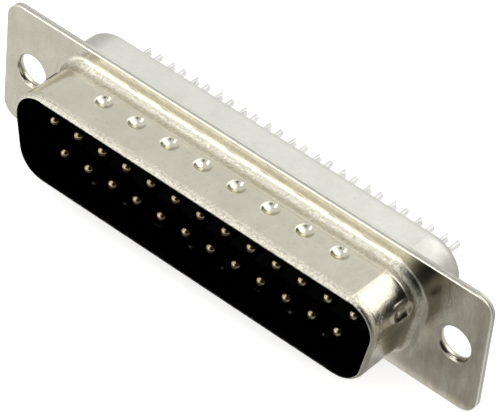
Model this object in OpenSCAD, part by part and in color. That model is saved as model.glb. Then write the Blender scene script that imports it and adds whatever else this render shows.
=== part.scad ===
/* [Contacts] */
// Contacts in the upper row; the lower row has one fewer
upper_count = 13; // [5:1:19]
// Spacing of the contacts along a row
pitch = 2.76; // [2.6:0.01:3]
// Distance between the two rows
row_gap = 2.84; // [2.6:0.01:3.1]
// Diameter of the pins
pin_d = 1; // [0.8:0.05:1.1]
// Reach of the pin tips in front of the flange
pin_reach = 4.85; // [3:0.05:5.5]
// Diameter of the shoulder that the two insulators hold
shoulder_d = 2; // [1.8:0.05:2.2]
// Length of that shoulder
shoulder_len = 1.2; // [0.8:0.05:1.6]
// Outer diameter of the solder cups
cup_d = 1.6; // [1.4:0.05:1.7]
// Bore of the solder cups
cup_bore = 1.1; // [0.8:0.05:1.2]
// Length of the open trough of a cup
cup_open = 1.9; // [1:0.1:2.3]
// Height of the trough's walls above the middle of the cup
cup_wall = 0.3; // [0:0.05:0.4]
// Depth of the closed socket beyond the trough
cup_socket = 0.8; // [0.3:0.1:1.2]
// Reach of the cups behind the rear insulator
cup_reach = 3.4; // [2.8:0.1:4.5]

/* [Mating shell] */
// Thickness of the sheet of both shells
sheet = 0.3; // [0.25:0.01:0.4]
// Room from the end contacts of the upper row to the inside of the mouth
mouth_end_room = 2.92; // [2.7:0.01:3.3]
// Height inside the mouth
mouth_h = 8.36; // [8:0.02:8.8]
// Corner radius inside the mouth
mouth_r = 2.6; // [2.2:0.05:3]
// Slope of the end walls, which keys the connector one way up
end_slope = 10; // [6:0.5:12]
// Reach of the skirt in front of the flange
skirt_reach = 6.1; // [5:0.05:7]
// Radius between the skirt and the flange
root_r = 0.85; // [0.4:0.05:0.95]
// Rounding on the outer edge of the mouth
lip_r = 0.6; // [0.45:0.05:1]

/* [Grounding dimples] */
// Spacing of the dimples along the long walls
dimple_pitch = 3.7; // [2.5:0.05:5]
// Least distance from a corner to the nearest dimple
dimple_room = 3; // [1.5:0.1:5]
// Distance of the dimples in front of the flange
dimple_y = 2.4; // [1.9:0.05:3.2]
// Depth of the dimples
dimple_depth = 0.3; // [0.15:0.01:0.34]
// Radius of the punch that presses them
punch_r = 1.25; // [0.9:0.05:1.5]
// Straight length of the oblong dimple at each end of the skirt
end_dimple_len = 0.8; // [0.4:0.1:1.4]
// Distance of that dimple in front of the flange
end_dimple_y = 2.15; // [2:0.05:3.2]
// Direction it is pressed from, in degrees above the horizontal, on the round of the upper corner
end_dimple_angle = 14; // [8:1:30]

/* [Flange] */
// Distance from the end contacts of the upper row to the mounting holes
hole_end_room = 6.96; // [6.85:0.01:8]
// Diameter of the mounting holes
hole_d = 3.06; // [2.8:0.01:3.1]
// Distance from a mounting hole to the end of the flange
flange_end = 3; // [2.7:0.05:5]
// Height of the flange
flange_h = 12.55; // [12.3:0.05:14]
// Corner radius of the flange
flange_r = 1.6; // [0.8:0.1:2.5]
// Inner radius of the fold that swages the front shell round the rear flange
swage_r = 0.1; // [0.08:0.01:0.2]
// Width of the swaged rim behind the rear flange
swage_rim = 0.3; // [0.2:0.05:0.45]
// Clearance of the rear flange's hole round the fold
swage_gap = 0.05; // [0.02:0.01:0.1]

/* [Rear shell] */
// Room from the end contacts of the upper row to the outside of the rear shell
rear_end_room = 4.08; // [3.95:0.01:4.2]
// Outer height of the rear shell
rear_h = 10.8; // [10.5:0.05:11]
// Corner radius of the rear shell
rear_r = 3.4; // [2.8:0.05:3.6]
// Distance from the front of the flange to the back of the rear shell
rear_depth = 4.7; // [4.4:0.05:5.2]
// Radius round the back edge
rear_edge_r = 1.2; // [0.8:0.05:1.4]
// Radius between the rear shell and its flange
rear_root_r = 0.4; // [0.2:0.05:0.5]
// Width of the flat rim round the rear opening
rear_rim = 0.5; // [0.3:0.05:0.7]

/* [Insulators] */
// Clearance round the insulators
insulator_gap = 0.12; // [0.1:0.01:0.2]
// Reach of the front insulator into the skirt
front_face = 0.6; // [0.2:0.05:0.9]
// Thickness of the front insulator's flange
front_plate = 1.7; // [1.4:0.05:2]
// Reach of the rear insulator's boss behind the rear shell
boss_out = 0.25; // [0:0.05:0.6]
// Clearance round the contacts in the insulators
contact_gap = 0.04; // [0.02:0.01:0.06]
// Width of the lead-in chamfer on the contact holes
lead_in = 0.2; // [0.1:0.02:0.24]

/* [Hidden] */
$fn = 64;
row_half = (upper_count - 1)*pitch/2;

// D outlines as [half length at the extremes, half height, corner radius]: inside of the mouth,
// outside of the rear shell, and the insulators inside it
mouth = [row_half + mouth_end_room, mouth_h/2, mouth_r];
rear = [row_half + rear_end_room, rear_h/2, rear_r];
bay = grown(rear, -sheet - insulator_gap);

// Levels along the mating axis, zero on the flange's front face, positive toward the mouth
seam = -sheet;
flange_back = seam - sheet;
rear_back = -rear_depth;
front_plate_back = seam - front_plate;
boss_back = rear_back - boss_out;
shoulder_front = front_plate_back + shoulder_len/2;
shoulder_back = front_plate_back - shoulder_len/2;
cup_end = boss_back - cup_reach;

hole_x = row_half + hole_end_room;
swage_fold = hole_d/2 + sheet + swage_r;
// Height of the centre of the dimples' punch above the skirt's outer face
punch_rise = punch_r - dimple_depth;
// Corner sections are drawn this much thinner than the straight ones and overlap them by lap degrees
tuck = 0.012;
lap = 0.5;
// Overlap of solids that join, and reach of cutters past a face
bite = 0.05;
past = 1;

contact_count = 2*upper_count - 1;
function contact_name(i) = str("contact_", i < 10 ? "0" : "", i);

// Place of contact i: 1 starts the upper row, and the lower row follows it
function contact_x(i) = i <= upper_count ? row_half - (i - 1)*pitch
    : row_half - (i - upper_count - 0.5)*pitch;
function contact_z(i) = i <= upper_count ? row_gap/2 : -row_gap/2;

// The D grown outward by g
function grown(d, g) = [d[0] + g, d[1] + g, d[2] + g];
// Corner centres of a D, clockwise from the upper left
function centres(d) = let (x = d[0] - d[2], z = d[1] - d[2], b = x - 2*z*tan(end_slope))
    [[-x, z], [x, z], [b, -z], [-b, -z]];
// Outward directions of its top, right, bottom and left walls, and the turn of each corner before them
walls = [90, -end_slope, -90, 180 + end_slope];
turns = [90 + end_slope, 90 + end_slope, 90 - end_slope, 90 - end_slope];

// Outline of a D with n points round each corner, the first and last half a step inside it
function d_points(d, n = 12) = let (c = centres(d)) [for (i = [0:3], k = [n:-1:1])
    let (a = walls[i] + turns[i]*(k - 0.5)/n) c[i] + d[2]*[cos(a), sin(a)]];

// Dimples that fit between the corners of the shorter long wall
dimple_count = floor((2*centres(mouth)[2][0] - 2*dimple_room)/dimple_pitch) + 1;

// Turns a shape drawn on its mating axis so that this axis runs along -Y, with +Z up
module facing() {
  rotate([90, 0, 0]) children();
}

// Plate of D outline d between the levels a and b
module d_plate(d, a, b) {
  translate([0, 0, min(a, b)]) linear_extrude(abs(b - a)) polygon(d_points(d));
}

// Draws a sheet section round D outline d, with x outward and y along the mating axis:
// child 0 along the straight walls, child 1 round the corners
module sweep_round(d) {
  c = centres(d);
  for (i = [0:3]) translate(c[i]) {
    rotate(walls[i]) translate([d[2], 0]) rotate([90, 0, 0])
      linear_extrude(norm(c[(i + 1) % 4] - c[i])) children(0);
    rotate(walls[i] - lap) rotate_extrude(angle = turns[i] + 2*lap) translate([d[2], 0]) children(1);
  }
}

// Quarter of a bent sheet about the origin, in the quadrant toward -x, -y, thinned by e
module bend(inner, e) {
  difference() {
    intersection() {
      circle(inner + sheet - e);
      translate(-[1, 1]*(inner + sheet)) square(inner + sheet);
    }
    circle(inner + e);
  }
}

// Sheet from the flange round the root to the mouth, whose outer edge is rounded; x = 0 is the outer face
module skirt_section(e) {
  lip_start = skirt_reach - sqrt(pow(lip_r, 2) - pow(lip_r - sheet, 2));
  translate([root_r, seam + e]) square([2*bite, sheet - 2*e]);
  translate([root_r, root_r]) bend(root_r, e);
  translate([-sheet + e, root_r]) square([sheet - 2*e, lip_start - root_r]);
  intersection() {
    translate([-sheet + e, lip_start]) square([sheet - 2*e, lip_r]);
    translate([-lip_r, lip_start]) circle(lip_r - e);
  }
}

// Sheet of the rear shell from its flange to the rim round the rear opening; x = 0 is the outer face
module cup_section(e) {
  wall_front = flange_back - rear_root_r;
  wall_back = rear_back + rear_edge_r;
  translate([rear_root_r, flange_back + e]) square([2*bite, sheet - 2*e]);
  translate([rear_root_r, wall_front]) mirror([0, 1]) bend(rear_root_r, e);
  translate([-sheet + e, wall_back]) square([sheet - 2*e, wall_front - wall_back]);
  translate([-rear_edge_r, wall_back]) rotate(90) bend(rear_edge_r - sheet, e);
  translate([-rear_edge_r - rear_rim, rear_back + e]) square([rear_rim, sheet - 2*e]);
}

// Flange blank between the levels a and b
module flange_plate(a, b) {
  x = hole_x + flange_end - flange_r;
  z = flange_h/2 - flange_r;
  translate([0, 0, min(a, b)]) linear_extrude(abs(b - a)) {
    square([2*x, flange_h], center = true);
    square([2*(x + flange_r), 2*z], center = true);
    for (i = [-1, 1], k = [-1, 1]) translate([i*x, k*z]) circle(flange_r);
  }
}

// Fold of the front shell round the rim of the rear flange's hole, with a plain bore between its two bends
module swage() {
  rotate_extrude() {
    translate([swage_fold, seam - swage_r]) rotate(-90) bend(swage_r, 0);
    translate([hole_d/2, flange_back + swage_r]) square([sheet, sheet - 2*swage_r]);
    translate([swage_fold, flange_back + swage_r]) bend(swage_r, 0);
    translate([swage_fold, seam]) square([2*bite, sheet]);
    translate([swage_fold, flange_back - sheet]) square([swage_rim, sheet]);
  }
}

// Places of the dimples in the long walls and at the ends
module at_long_walls() {
  for (i = [0:dimple_count - 1], k = [-1, 1])
    translate([(i - (dimple_count - 1)/2)*dimple_pitch, k*(mouth[1] + sheet), dimple_y])
      rotate([-90*k, 0, 0]) children();
}
module at_ends() {
  for (k = [0, 1]) mirror([k, 0, 0]) translate(centres(mouth)[1]) rotate(end_dimple_angle)
    translate([mouth[2] + sheet, 0, end_dimple_y]) rotate([0, 90, 0]) rotate(90) children();
}

// The punch of radius r for a dimple of straight length len, above a wall whose outer face is the XY plane
module punch(r, len) {
  translate([0, 0, punch_rise]) {
    if (len == 0) sphere(r);
    else {
      rotate([90, 0, 0]) cylinder(r = r, h = len, center = true);
      for (k = [-1, 1]) translate([0, k*len/2, 0]) sphere(r);
    }
  }
}
// Bulge that the punch raises on the inner face of the wall
module bulge(len) {
  r = punch_r + sheet;
  intersection() {
    punch(r, len);
    translate([-2*r, -2*r, -r - sheet]) cube([4*r, 4*r, r + sheet/2]);
  }
}

// Front shell: flange, drawn skirt with its dimples, and the folds round the mounting holes
module front_shell() {
  skirt = grown(mouth, sheet);
  color([0.78, 0.76, 0.69]) facing() difference() {
    union() {
      difference() {
        flange_plate(seam, 0);
        d_plate(grown(skirt, root_r + bite), seam - past, past);
        for (k = [-1, 1]) translate([k*hole_x, 0, seam - past]) cylinder(r = swage_fold + bite, h = 2*past);
      }
      sweep_round(skirt) {
        skirt_section(0);
        skirt_section(tuck);
      }
      for (k = [-1, 1]) translate([k*hole_x, 0, 0]) swage();
      at_long_walls() bulge(0);
      at_ends() bulge(end_dimple_len);
    }
    at_long_walls() punch(punch_r, 0);
    at_ends() punch(punch_r, end_dimple_len);
  }
}

// Rear shell: flange and drawn cup, open at the back inside a turned-in rim
module rear_shell() {
  color([0.83, 0.83, 0.81]) facing() {
    difference() {
      flange_plate(flange_back, seam);
      d_plate(grown(rear, rear_root_r + bite), flange_back - past, past);
      for (k = [-1, 1]) translate([k*hole_x, 0, flange_back - past])
        cylinder(r = swage_fold + swage_gap, h = 2*past);
    }
    sweep_round(rear) {
      cup_section(0);
      cup_section(tuck);
    }
  }
}

// Bores for the contacts from one insulator's outer face to the plane where the two meet,
// each with a lead-in at its mouth and half of the seat for a contact's shoulder
module contact_bores(d, face) {
  r = d/2 + contact_gap;
  deep = abs(face - front_plate_back) + past;
  flip = face > front_plate_back ? 0 : 1;
  seat = shoulder_len/2 + contact_gap;
  for (i = [1:contact_count]) translate([contact_x(i), contact_z(i), face]) mirror([0, 0, flip]) {
    translate([0, 0, -deep]) cylinder(r = r, h = deep + past);
    translate([0, 0, -lead_in]) cylinder(r1 = r, r2 = r + 2*lead_in, h = 2*lead_in);
    translate([0, 0, -deep]) cylinder(r = shoulder_d/2 + contact_gap, h = past + seat);
  }
}

// Front insulator: a plate between the shells, and a plug that fills the root of the skirt
module front_insulator() {
  color([0.06, 0.06, 0.06]) facing() difference() {
    union() {
      d_plate(bay, front_plate_back, seam);
      d_plate(grown(mouth, -insulator_gap), front_plate_back, front_face);
    }
    contact_bores(pin_d, front_face);
  }
}

// Rear insulator: a block that sits on the rear shell's rim, and a boss through its opening
module rear_insulator() {
  color([0.06, 0.06, 0.06]) facing() difference() {
    union() {
      d_plate(bay, rear_back + rear_edge_r, front_plate_back);
      d_plate(grown(rear, -rear_edge_r), rear_back + sheet, front_plate_back);
      d_plate(grown(rear, -rear_edge_r - rear_rim - insulator_gap), boss_back, front_plate_back);
    }
    contact_bores(cup_d, boss_back);
  }
}

// Contact: turned pin with a domed tip, shoulder, and a solder cup whose trough opens away from the other row
module contact(i) {
  side = contact_z(i) > 0 ? 1 : -1;
  dome = pin_reach - pin_d/2;
  trough = cup_end + cup_open;
  socket = trough + cup_socket;
  color([0.85, 0.78, 0.55]) translate([contact_x(i), 0, contact_z(i)]) facing() difference() {
    union() {
      translate([0, 0, shoulder_front - bite]) cylinder(d = pin_d, h = dome - shoulder_front + bite);
      translate([0, 0, dome]) sphere(d = pin_d);
      translate([0, 0, shoulder_back]) cylinder(d = shoulder_d, h = shoulder_len);
      translate([0, 0, cup_end]) cylinder(d = cup_d, h = shoulder_back - cup_end + bite);
    }
    translate([0, 0, cup_end - past]) cylinder(d = cup_bore, h = socket - cup_end + past);
    translate([0, 0, socket]) cylinder(d1 = cup_bore, d2 = 0, h = cup_bore/2*tan(31));
    // the milling cutter opens the trough and leaves its root round
    mirror([0, side > 0 ? 0 : 1, 0]) translate([-cup_d, cup_wall, cup_end - past]) {
      cube([2*cup_d, cup_d, cup_open - cup_d/2 + past]);
      translate([0, cup_d/2, cup_open - cup_d/2 + past]) rotate([0, 90, 0]) cylinder(d = cup_d, h = 2*cup_d);
    }
  }
}

front_shell();
rear_shell();
front_insulator();
rear_insulator();
for (i = [1:contact_count]) contact(i);
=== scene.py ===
import math

import bpy
from mathutils import Matrix, Vector


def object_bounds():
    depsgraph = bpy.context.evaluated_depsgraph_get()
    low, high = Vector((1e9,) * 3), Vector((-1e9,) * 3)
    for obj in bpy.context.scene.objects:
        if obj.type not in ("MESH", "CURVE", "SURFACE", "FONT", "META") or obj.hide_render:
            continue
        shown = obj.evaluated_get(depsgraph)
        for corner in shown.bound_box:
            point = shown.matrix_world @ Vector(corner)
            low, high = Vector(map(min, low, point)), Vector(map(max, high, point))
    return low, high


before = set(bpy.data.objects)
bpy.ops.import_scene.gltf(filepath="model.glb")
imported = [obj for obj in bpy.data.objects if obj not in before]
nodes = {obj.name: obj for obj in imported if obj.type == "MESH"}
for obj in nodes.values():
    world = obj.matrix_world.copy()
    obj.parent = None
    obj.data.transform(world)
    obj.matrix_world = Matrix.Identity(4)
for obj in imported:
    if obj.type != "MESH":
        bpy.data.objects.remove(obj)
cad_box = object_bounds()
scene = bpy.context.scene
MM = 0.001

# ----------------------------------------------------------------- camera
# Fitted to the photograph's view with the part's real sizes.
AZIMUTH, ELEVATION, ROLL = math.radians(36.822), math.radians(41.859), math.radians(6.201)
DISTANCE = 0.287973
AIM_RIGHT, AIM_UP = 1.264 * MM, -0.274 * MM     # the view's centre, seen from the origin
FOCAL_MM, SENSOR_MM = 248.05, 36
CLIP_NEAR, CLIP_FAR = 0.01, 20

back = Vector((math.sin(AZIMUTH) * math.cos(ELEVATION),
               -math.cos(AZIMUTH) * math.cos(ELEVATION),
               math.sin(ELEVATION)))
level_right = Vector((math.cos(AZIMUTH), math.sin(AZIMUTH), 0))
level_up = back.cross(level_right)
right = math.cos(ROLL) * level_right + math.sin(ROLL) * level_up
up = -math.sin(ROLL) * level_right + math.cos(ROLL) * level_up

cam_data = bpy.data.cameras.new("camera")
cam_data.sensor_width = SENSOR_MM
cam_data.lens = FOCAL_MM
cam_data.clip_start = CLIP_NEAR
cam_data.clip_end = CLIP_FAR
cam = bpy.data.objects.new("camera", cam_data)
pose = Matrix((right, up, back)).transposed().to_4x4()
pose.translation = DISTANCE * back + AIM_RIGHT * right + AIM_UP * up
cam.matrix_world = pose
scene.collection.objects.link(cam)
scene.camera = cam
scene.view_settings.view_transform = "Standard"


# ------------------------------------------------------- node tree helpers
def new_material(name):
    mat = bpy.data.materials.new(name)
    mat.use_nodes = True
    mat.node_tree.nodes.clear()
    return mat, mat.node_tree, node(mat.node_tree, "OutputMaterial")


def feed(t, value, socket):
    """Links another node's output to a socket, or sets a plain value on it."""
    if isinstance(value, bpy.types.NodeSocket):
        t.links.new(value, socket)
    else:
        socket.default_value = value


def node(t, kind, **values):
    """A shader node; a capitalised name sets an input, any other a property."""
    n = t.nodes.new("ShaderNode" + kind)
    for key, value in values.items():
        if key[0].isupper():
            feed(t, value, n.inputs[key.replace("_", " ")])
        else:
            setattr(n, key, value)
    return n


def chain(t, operation, *values):
    """Math nodes of one operation, taken from left to right."""
    total = values[0]
    for value in values[1:]:
        n = node(t, "Math", operation=operation)
        feed(t, total, n.inputs[0])
        feed(t, value, n.inputs[1])
        total = n.outputs[0]
    return total


def times(t, *values):
    return chain(t, "MULTIPLY", *values)


def plus(t, *values):
    return chain(t, "ADD", *values)


def minus(t, a, b):
    return chain(t, "SUBTRACT", a, b)


def most(t, *values):
    return chain(t, "MAXIMUM", *values)


def dot(t, a, b):
    n = node(t, "VectorMath", operation="DOT_PRODUCT")
    feed(t, a, n.inputs[0])
    feed(t, b, n.inputs[1])
    return n.outputs["Value"]


def axes(t, vector):
    return node(t, "SeparateXYZ", Vector=vector).outputs


def place(t, stretch=(1, 1, 1)):
    """Object coordinates in millimetres, stretched along the axes."""
    coord = node(t, "TexCoord").outputs["Object"]
    return node(t, "Mapping", Vector=coord, Scale=[s / MM for s in stretch]).outputs["Vector"]


def noise(t, vector, scale, detail, rough):
    return node(t, "TexNoise", Vector=vector, Scale=scale, Detail=detail,
                Roughness=rough).outputs["Fac"]


def remap(t, value, low, high, a, b):
    """low to high becomes a to b, and no value goes past them."""
    return node(t, "MapRange", Value=value, From_Min=low, From_Max=high, To_Min=a,
                To_Max=b).outputs["Result"]


def spread(t, value, a=0, b=1):
    """The middle range of a noise, where nearly all of it lies, becomes a to b."""
    return remap(t, value, 0.3, 0.7, a, b)


def between(t, value, a, b):
    """a where the value is 0, b where it is 1."""
    return remap(t, value, 0, 1, a, b)


def soft_step(t, value, low, high):
    """0 below low, 1 above high, smooth between; low may be above high."""
    n = node(t, "MapRange", interpolation_type="SMOOTHSTEP", Value=value, From_Min=low,
             From_Max=high)
    return n.outputs["Result"]


def band(t, value, low, high, edge):
    """1 between low and high, falling to 0 over edge inside each of them."""
    return times(t, soft_step(t, value, low, low + edge), soft_step(t, value, high, high - edge))


def blend(t, fac, a, b):
    """Colour a where fac is 0, b where it is 1."""
    n = node(t, "Mix", data_type="RGBA")
    colours = [(*c, 1) if isinstance(c, tuple) else c for c in (a, b)]
    for value, socket in zip((fac, *colours), (n.inputs[0], n.inputs[6], n.inputs[7])):
        feed(t, value, socket)
    return n.outputs[2]


def bump(t, height, strength, depth, normal):
    """Bump of the given depth in millimetres, on top of another normal."""
    return node(t, "Bump", Strength=strength, Distance=depth * MM, Height=height,
                Normal=normal).outputs["Normal"]


def round_edges(t, radius):
    """Normal eased over sharp edges, and 1 where it leaves the true one."""
    soft = node(t, "Bevel", samples=6, Radius=radius * MM).outputs[0]
    true = node(t, "NewGeometry").outputs["True Normal"]
    return soft, soft_step(t, dot(t, soft, true), 0.96, 0.8)


def scaled(colour, k):
    return tuple(k * c for c in colour)


# ------------------------------------------------------------- materials
# Noises: scale in waves a millimetre, detail, roughness.
CLOUDS, FINE, GRAIN = (0.35, 4, 0.6), (5.0, 4, 0.75), (3.0, 2, 0.7)
PITS, SPECKS, STREAKS, DENTS = (3.5, 2, 0.5), (4.0, 2, 0.6), (0.8, 5, 0.65), (1.1, 3, 0.5)
STREAK_STRETCH = (1.1, 1, 0.3)
TURNING, TURNING_STRETCH = (1.0, 2, 0.5), (0.05, 6, 0.05)
TOOL_MARKS, GOLD_CLOUDS, TIN_CLOUDS = (7, 3, 0.6), (1.5, 3, 0.5), (1.2, 3, 0.5)
SPARKS, PLASTIC_CLOUDS = (12, 3, 0.6), (0.8, 3, 0.5)

# Places in the part's frame, in millimetres; a pair is the two ends of a soft step.
EAR = (17, 20)                   # |x| of the flange beside the skirt
CORNER = (16.5, 18.5)            # |x| of the D's rounded corners
FLANGE_FRONT = (0, -0.5)         # y from the flange's face into the skirt
SEAM = (0.22, 0.38, 0.05)        # y of the joint between the flanges, and its edge
FILLET = (-1.5, 0.0, 0.3)        # y of the round at the skirt's root, and its edge
LIP = (-5.1, -5.5)               # y of the rolled mouth
OFF_FLANGE = (-0.02, -0.1)       # y just off the flange's face
INSIDE = (-0.5, -0.6)            # y from which the skirt has an inner side
END_WALL = (18.0, 19.0)          # x of the right end wall
END_WALL_Y = (-5.4, -0.1, 2.6)   # y of its painted shade, and the edge
END_WALL_Z = (3.0, 0.0)          # z from which the painted shade starts downwards
CUP = (1.5, 2.5)                 # y where a contact's gold ends and its tin starts
SHEET_EDGE, SMALL_EDGE = 0.2, 0.06    # radius of the eased edges

# How much of a layer covers the tone below it, 0 to 1.
TARNISH_AND_SHADE_SHARE, LEFT_EAR_SHARE, END_SHADE_SHARE = 0.6, 0.25, 0.85
PIT_SHARE, SPECK_SHARE, SEAM_SHARE, REAR_CORNER_SHADE_SHARE = 0.35, 0.4, 0.55, 0.5

# Parts of the dull tone that darker places have; at the rear shell's corners this is painted
# shade, on the skirt's inner side a painted reflection.
PIT_TONE, SPECK_TONE, REAR_CORNER_SHADE_TONE, INNER_REFLECTION_TONE, PLASTIC_TONE = 0.6, 0.55, 0.6, 0.06, 0.6

# Depths of the bumps, in millimetres.
DENT_DEPTH, GRAIN_DEPTH, FINE_DEPTH = 0.08, 0.035, 0.04
TURNING_DEPTH, MARK_DEPTH, SPARK_DEPTH = 0.006, 0.006, 0.01

# Linear colours. The ears' tarnish carries painted shade, the end wall's colour is painted
# shade, the worn edges carry a painted highlight and the seam's dirt carries painted shade.
TARNISH_AND_SHADE, END_PAINTED_SHADE = (0.33, 0.27, 0.18), (0.13, 0.105, 0.06)
WORN_EDGE_AND_HIGHLIGHT, SEAM_DIRT_AND_SHADE = (0.93, 0.91, 0.82), (0.12, 0.11, 0.09)
GOLD_DARK, GOLD = (0.28, 0.23, 0.12), (0.46, 0.40, 0.25)
TIN_DARK, TIN = (0.70, 0.70, 0.66), (0.86, 0.86, 0.83)


def outward(t, x, z):
    """Unit vector away from the mating axis, in the plane across it. z counts
    three times, because the D is far wider than it is high."""
    across = node(t, "CombineXYZ", X=x, Z=times(t, z, 3.0)).outputs[0]
    return node(t, "VectorMath", operation="NORMALIZE", Vector=across).outputs[0]


def plated(name, bright, dull, rough, skirt):
    """Plated drawn sheet: cloudy tone, a skin that is grainy where the drawing
    stretched it, bright worn edges with a painted highlight, and tarnish with painted shade,
    most of it on the right."""
    mat, t, out = new_material(name)
    p = place(t)
    x, y, z = axes(t, p)
    clouds, fine, grain = noise(t, p, *CLOUDS), noise(t, p, *FINE), noise(t, p, *GRAIN)
    normal, edge = round_edges(t, SHEET_EDGE)

    # The ears get streaky tarnish with painted shade, heavier on the right.
    left_ear = times(t, soft_step(t, x, -EAR[0], -EAR[1]), LEFT_EAR_SHARE)
    ears = plus(t, soft_step(t, x, *EAR), left_ear)
    streaks = remap(t, noise(t, place(t, STREAK_STRETCH), *STREAKS), 0.35, 0.65, 0, 1)
    pits = remap(t, noise(t, p, *PITS), 0.64, 0.76, 0, PIT_SHARE)
    seam = times(t, band(t, y, *SEAM), SEAM_SHARE)
    tone = blend(t, spread(t, clouds), dull, bright)
    tone = blend(t, times(t, ears, streaks, TARNISH_AND_SHADE_SHARE), tone, TARNISH_AND_SHADE)
    tone = blend(t, pits, tone, scaled(dull, PIT_TONE))
    # Eased edges are worn bright and carry a painted highlight.
    tone = blend(t, edge, tone, WORN_EDGE_AND_HIGHLIGHT)
    # The joint between the flanges gets dirt and painted shade.
    tone = blend(t, seam, tone, SEAM_DIRT_AND_SHADE)

    corner = soft_step(t, chain(t, "ABSOLUTE", x, 0), *CORNER)
    grainy = between(t, corner, 0.08, 0.3)
    wobble = between(t, times(t, corner, soft_step(t, y, *FLANGE_FRONT)), 0.25, 0.55)
    if skirt:
        drawn = most(t, band(t, y, *FILLET), soft_step(t, y, *LIP))
        grainy = most(t, grainy, times(t, drawn, soft_step(t, y, *OFF_FLANGE)))
        # The inner side faces the mating axis. Its dark colour is a painted reflection: as dark
        # as it looks in the photograph, where it mirrors the black insulator.
        away = dot(t, node(t, "TexCoord").outputs["Normal"], outward(t, x, z))
        inner = times(t, soft_step(t, away, -0.02, -0.3), soft_step(t, y, *INSIDE))
        tone = blend(t, inner, tone, scaled(dull, INNER_REFLECTION_TONE))
        # Painted shade on the right end wall, darker towards the bottom.
        end = times(t, soft_step(t, x, *END_WALL), band(t, y, *END_WALL_Y),
                    soft_step(t, z, *END_WALL_Z), END_SHADE_SHARE)
        tone = blend(t, end, tone, END_PAINTED_SHADE)
    else:
        # Painted shade on the rear shell's rounded corners.
        corner_shade = times(t, corner, REAR_CORNER_SHADE_SHARE)
        tone = blend(t, corner_shade, tone, scaled(dull, REAR_CORNER_SHADE_TONE))
    specks = remap(t, noise(t, p, *SPECKS), 0.5, 0.62, 0, SPECK_SHARE)
    tone = blend(t, times(t, specks, grainy), tone, scaled(dull, SPECK_TONE))

    roughness = plus(t, spread(t, clouds, rough * 1.2, rough * 0.85),
                     spread(t, fine, -0.03, 0.03), times(t, edge, 0.05))
    normal = bump(t, times(t, noise(t, p, *DENTS), wobble), 1.0, DENT_DEPTH, normal)
    normal = bump(t, times(t, grain, grainy), 1.0, GRAIN_DEPTH, normal)
    normal = bump(t, times(t, fine, grainy), 1.0, FINE_DEPTH, normal)
    shader = node(t, "BsdfPrincipled", Metallic=1.0, Base_Color=tone, Roughness=roughness,
                  Normal=normal)
    feed(t, shader.outputs[0], out.inputs["Surface"])
    return mat


def turned(name):
    """Turned contact: gold flash on the pin, tin on the solder cup, fine turning
    rings along its axis."""
    mat, t, out = new_material(name)
    p = place(t)
    marks = noise(t, p, *TOOL_MARKS)
    rings = noise(t, place(t, TURNING_STRETCH), *TURNING)
    gold = blend(t, spread(t, noise(t, p, *GOLD_CLOUDS)), GOLD_DARK, GOLD)
    tin = blend(t, spread(t, noise(t, p, *TIN_CLOUDS)), TIN_DARK, TIN)
    tone = blend(t, soft_step(t, axes(t, p)["Y"], *CUP), gold, tin)
    normal, _ = round_edges(t, SMALL_EDGE)
    normal = bump(t, rings, 0.3, TURNING_DEPTH, normal)
    normal = bump(t, marks, 0.5, MARK_DEPTH, normal)
    shader = node(t, "BsdfPrincipled", Metallic=1.0, Base_Color=tone,
                  Roughness=spread(t, marks, 0.10, 0.18), Normal=normal)
    feed(t, shader.outputs[0], out.inputs["Surface"])
    return mat


def moulded(name, colour, rough):
    """Moulded plastic with a fine spark-eroded skin."""
    mat, t, out = new_material(name)
    p = place(t)
    skin = noise(t, p, *SPARKS)
    tone = blend(t, spread(t, noise(t, p, *PLASTIC_CLOUDS)), scaled(colour, PLASTIC_TONE),
                 colour)
    normal, _ = round_edges(t, SMALL_EDGE)
    shader = node(t, "BsdfPrincipled", Metallic=0.0, Specular_IOR_Level=0.05, Base_Color=tone,
                  Roughness=spread(t, skin, rough - 0.06, rough + 0.06),
                  Normal=bump(t, skin, 0.35, SPARK_DEPTH, normal))
    feed(t, shader.outputs[0], out.inputs["Surface"])
    return mat


front_metal = plated("front_nickel", bright=(0.63, 0.60, 0.505), dull=(0.555, 0.53, 0.435),
                     rough=0.145, skirt=True)
rear_metal = plated("rear_nickel", bright=(0.68, 0.675, 0.62), dull=(0.61, 0.605, 0.555),
                    rough=0.42, skirt=False)
contact_metal = turned("contact_plating")
black = moulded("black_moulding", colour=(0.003, 0.003, 0.003), rough=0.55)


def dress(obj, mat):
    for slot in obj.material_slots:
        slot.link = "DATA"
        slot.material = mat
    if not obj.material_slots:
        obj.data.materials.append(mat)


for name, obj in nodes.items():
    if name == "front_shell":
        dress(obj, front_metal)
    elif name == "rear_shell":
        dress(obj, rear_metal)
    elif name.startswith("contact"):
        dress(obj, contact_metal)
    else:
        dress(obj, black)


# ------------------------------------------------------- floor and light
# What mirrored rays see was set for the photograph's view; all other
# rays see a plain pale floor and a plain white world.
FLOOR_HALF = 3              # metres
FLOOR_DROP = 0.02 * MM      # below the part's lowest point
FLOOR_GREY, FLOOR_LIFT, FLOOR_MIRRORED = 0.8, 0.65, 0.95
NEAR_DARK, END_DARK, FOOT_DARK, FAR_DARK, GLARE_LIGHT = 0.8, 0.46, 0.55, 0.8, 0.9
PANEL_TOWARDS, PANEL_LIGHT, WHITE_ROOM = (0.2, 0.6, 0.78), 1.2, 0.95
STRIP_LIGHT, STRIP_TOP, STRIP_GAP = 2.9, 1.3, 0.64
MIDDLE_LIGHT, LEFT_LIGHT = 1.3, 0.95
DARK_ROOM_LEFT, DARK_ROOM_RIGHT = 0.12, 0.02


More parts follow.
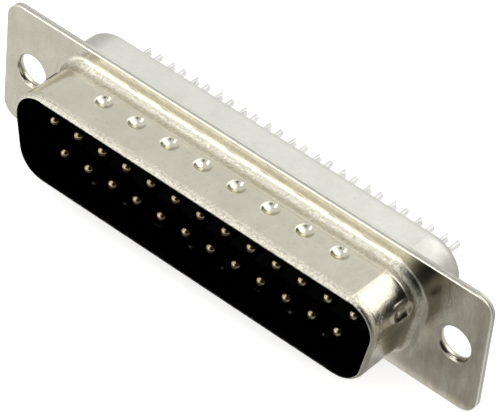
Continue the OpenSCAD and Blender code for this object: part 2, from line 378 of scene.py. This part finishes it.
def floor_material():
    """Pale floor that keeps the object's shadow, lifted to white for the camera.
    Polished metal sees it pale too, with painted shadows by the skirt and its right end, painted
    shade far off to the front right and a painted patch of light in front. The patches are in
    millimetres."""
    mat, t, out = new_material("floor_white")
    path = node(t, "LightPath").outputs
    x, y, _ = axes(t, place(t))
    # Painted shadows, painted shade and a painted patch of light, seen by mirrored rays only.
    near = times(t, band(t, x, -24, 20, 8), band(t, y, -26, -0.5, 2), NEAR_DARK)
    end = times(t, soft_step(t, x, 14, 19), soft_step(t, y, 0, -1), END_DARK)
    foot = times(t, band(t, x, 16, 25, 3), band(t, y, -7, -0.5, 2), FOOT_DARK)
    far = times(t, soft_step(t, x, 10, 40), soft_step(t, y, -12, -30), FAR_DARK)
    glare = times(t, soft_step(t, y, -20, -30), soft_step(t, x, 10, -5), GLARE_LIGHT)
    mirrored = minus(t, plus(t, glare, FLOOR_MIRRORED), most(t, near, end, foot, far))

    diffuse = node(t, "BsdfDiffuse", Color=(FLOOR_GREY, FLOOR_GREY, FLOOR_GREY, 1))
    lift = node(t, "Emission", Color=(1, 1, 1, 1),
                Strength=times(t, path["Is Camera Ray"], FLOOR_LIFT))
    lit = node(t, "AddShader")
    seen = node(t, "Emission", Color=(1, 1, 1, 1), Strength=mirrored)
    pick = node(t, "MixShader", Fac=most(t, path["Is Glossy Ray"], path["Is Transmission Ray"]))
    feed(t, diffuse.outputs[0], lit.inputs[0])
    feed(t, lift.outputs[0], lit.inputs[1])
    feed(t, lit.outputs[0], pick.inputs[1])
    feed(t, seen.outputs[0], pick.inputs[2])
    feed(t, pick.outputs[0], out.inputs["Surface"])
    return mat


def studio_world():
    """White world that lights the object evenly. Polished metal sees a white
    room with a panel behind, and in front a dark room with upright strips."""
    world = bpy.data.worlds.new("studio")
    world.use_nodes = True
    t = world.node_tree
    sky = node(t, "TexCoord").outputs["Generated"]
    x, y, z = axes(t, sky)

    to_panel = dot(t, sky, Vector(PANEL_TOWARDS).normalized())
    rear = plus(t, times(t, soft_step(t, to_panel, 0.82, 0.9), PANEL_LIGHT), WHITE_ROOM)

    strip = times(t, band(t, x, -0.62, -0.27, 0.05), STRIP_LIGHT)
    top = between(t, soft_step(t, z, 0.76, 0.81), 1, STRIP_TOP)
    gap = times(t, band(t, z, 0.60, 0.79, 0.03), STRIP_GAP)
    middle = times(t, band(t, x, -0.15, 0.03, 0.04), MIDDLE_LIGHT)
    left = times(t, soft_step(t, x, -0.6, -0.7), LEFT_LIGHT)
    room = between(t, soft_step(t, x, -0.1, 0.15), DARK_ROOM_LEFT, DARK_ROOM_RIGHT)
    front = plus(t, times(t, strip, minus(t, top, gap)), plus(t, middle, left), room)

    in_front = soft_step(t, y, -0.08, -0.14)
    level = plus(t, times(t, front, in_front), times(t, rear, minus(t, 1.0, in_front)))
    gloss = node(t, "LightPath").outputs["Is Glossy Ray"]
    background = t.nodes["Background"]
    background.inputs["Color"].default_value = (1, 1, 1, 1)
    feed(t, plus(t, times(t, level, gloss), minus(t, 1.0, gloss)), background.inputs["Strength"])
    return world


mesh = bpy.data.meshes.new("floor")
low = cad_box[0][2] - FLOOR_DROP
mesh.from_pydata([(i * FLOOR_HALF, j * FLOOR_HALF, low)
                  for i, j in ((-1, -1), (1, -1), (1, 1), (-1, 1))], [], [(0, 1, 2, 3)])
mesh.materials.append(floor_material())
floor = bpy.data.objects.new("floor", mesh)
scene.collection.objects.link(floor)

scene.world = studio_world()
